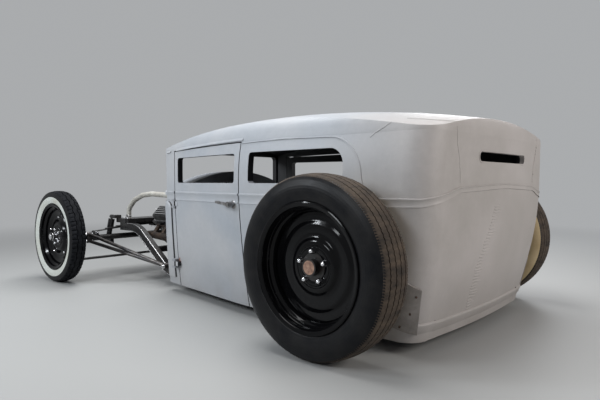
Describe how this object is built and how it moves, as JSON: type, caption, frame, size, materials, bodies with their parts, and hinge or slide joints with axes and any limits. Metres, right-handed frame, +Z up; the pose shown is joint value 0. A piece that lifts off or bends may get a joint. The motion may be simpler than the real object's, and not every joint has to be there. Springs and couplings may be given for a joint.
{
  "type": "chopped sedan street rod",
  "caption": "Chopped, channelled sedan street rod: hollow cabin with hinged doors, bare engine and swept frame rails ahead of the cowl, linked steering and free-turning wheels.",
  "frame": {"origin": "on the floor, under the centre of the whole car's bounding box", "axes": "+X forward, +Y to the car's left, +Z up"},
  "size_m": [3.4548, 2.006, 1.1768],
  "materials": {
    "grey_primer": "satin primer",
    "floor_paint": "satin",
    "chassis_black": "semi-gloss",
    "bare_steel": "bare, ground",
    "bright_trim": "polished",
    "engine_iron": "painted casting",
    "exhaust_steel": "heat-stained",
    "engine_aluminium": "cast",
    "pale_hose": "matte",
    "seat_shell": "bare sheet",
    "wheel_rim_plastic": "gloss",
    "drum_iron": "surface rust",
    "wheel_black": "gloss",
    "tyre": "dusty rubber"
  },
  "bodies": {
    "chassis_and_body": {"frame_rails": "bare_steel", "floor_pan": "floor_paint", "firewall": "floor_paint", "cowl": "grey_primer", "dashboard": "grey_primer", "roof_panel": "grey_primer", "left_quarter_panel": "grey_primer", "right_quarter_panel": "grey_primer", "rear_panel": "grey_primer", "rear_roll_pan": "grey_primer", "door_hinges": "grey_primer", "engine_block": "engine_iron", "valve_covers": "engine_aluminium", "intake_and_carburettor": "engine_aluminium", "exhaust_headers": "exhaust_steel", "gearbox_and_driveshaft": "engine_iron", "coolant_hose": "pale_hose", "front_axle": "chassis_black", "front_spring": "chassis_black", "radius_rods": "bare_steel", "front_shocks": "chassis_black", "rear_axle": "chassis_black", "trailing_arms": "chassis_black", "rear_coilovers": "chassis_black", "steering_column": "chassis_black", "seats": "seat_shell"},
    "left_door": {"left_door": "grey_primer", "left_door_handle": "bright_trim"},
    "left_knuckle": {"left_knuckle": "chassis_black"},
    "right_door": {"right_door": "grey_primer", "right_door_handle": "bright_trim"},
    "right_knuckle": {"right_knuckle": "chassis_black"},
    "tie_rod": {"tie_rod": "chassis_black"},
    "steering_wheel": {"steering_wheel": "wheel_rim_plastic"},
    "left_front_wheel": {"left_front_drum": "drum_iron", "left_front_wheel": "wheel_black", "left_front_tyre": "tyre"},
    "left_rear_wheel": {"left_rear_drum": "drum_iron", "left_rear_wheel": "wheel_black", "left_rear_tyre": "tyre"},
    "right_front_wheel": {"right_front_drum": "drum_iron", "right_front_wheel": "wheel_black", "right_front_tyre": "tyre"},
    "right_rear_wheel": {"right_rear_drum": "drum_iron", "right_rear_wheel": "wheel_black", "right_rear_tyre": "tyre"}
  },
  "joints": [
    {"name": "left_steer", "type": "hinge", "parent": "chassis_and_body", "child": "left_knuckle", "pos_m": [1.3765, 0.785, 0.351], "axis": [0, 0, 1], "range_deg": [-30, 30]},
    {"name": "right_steer", "type": "hinge", "parent": "chassis_and_body", "child": "right_knuckle", "pos_m": [1.3765, -0.785, 0.351], "axis": [0, 0, 1], "range_deg": [-30, 30]},
    {"name": "tie_rod_swing", "type": "hinge", "parent": "left_knuckle", "child": "tie_rod", "pos_m": [1.2465, 0.785, 0.172], "axis": [0, 0, 1], "range_deg": [-30, 30]},
    {"name": "steering_wheel_turn", "type": "hinge", "parent": "chassis_and_body", "child": "steering_wheel", "pos_m": [0.00103, 0.29, 0.60849], "axis": [-0.8868, 0, 0.4622], "range_deg": [-450, 450]},
    {"name": "left_door_swing", "type": "hinge", "parent": "chassis_and_body", "child": "left_door", "pos_m": [0.2935, 0.578, 0.42], "axis": [0, 0, -1], "range_deg": [0, 65]},
    {"name": "right_door_swing", "type": "hinge", "parent": "chassis_and_body", "child": "right_door", "pos_m": [0.2935, -0.578, 0.42], "axis": [0, 0, 1], "range_deg": [0, 65]},
    {"name": "left_rear_wheel_spin", "type": "hinge", "parent": "chassis_and_body", "child": "left_rear_wheel", "pos_m": [-1.2535, 0.902, 0.406], "axis": [0, 1, 0], "continuous": true},
    {"name": "left_front_wheel_spin", "type": "hinge", "parent": "left_knuckle", "child": "left_front_wheel", "pos_m": [1.3765, 0.889, 0.351], "axis": [0, 1, 0], "continuous": true},
    {"name": "right_rear_wheel_spin", "type": "hinge", "parent": "chassis_and_body", "child": "right_rear_wheel", "pos_m": [-1.2535, -0.902, 0.406], "axis": [0, 1, 0], "continuous": true},
    {"name": "right_front_wheel_spin", "type": "hinge", "parent": "right_knuckle", "child": "right_front_wheel", "pos_m": [1.3765, -0.889, 0.351], "axis": [0, 1, 0], "continuous": true}
  ],
  "couplings": [
    {"joint": "right_steer", "follows": "left_steer", "ratio": 1},
    {"joint": "tie_rod_swing", "follows": "left_steer", "ratio": -1},
    {"joint": "steering_wheel_turn", "follows": "left_steer", "ratio": 15}
  ]
}
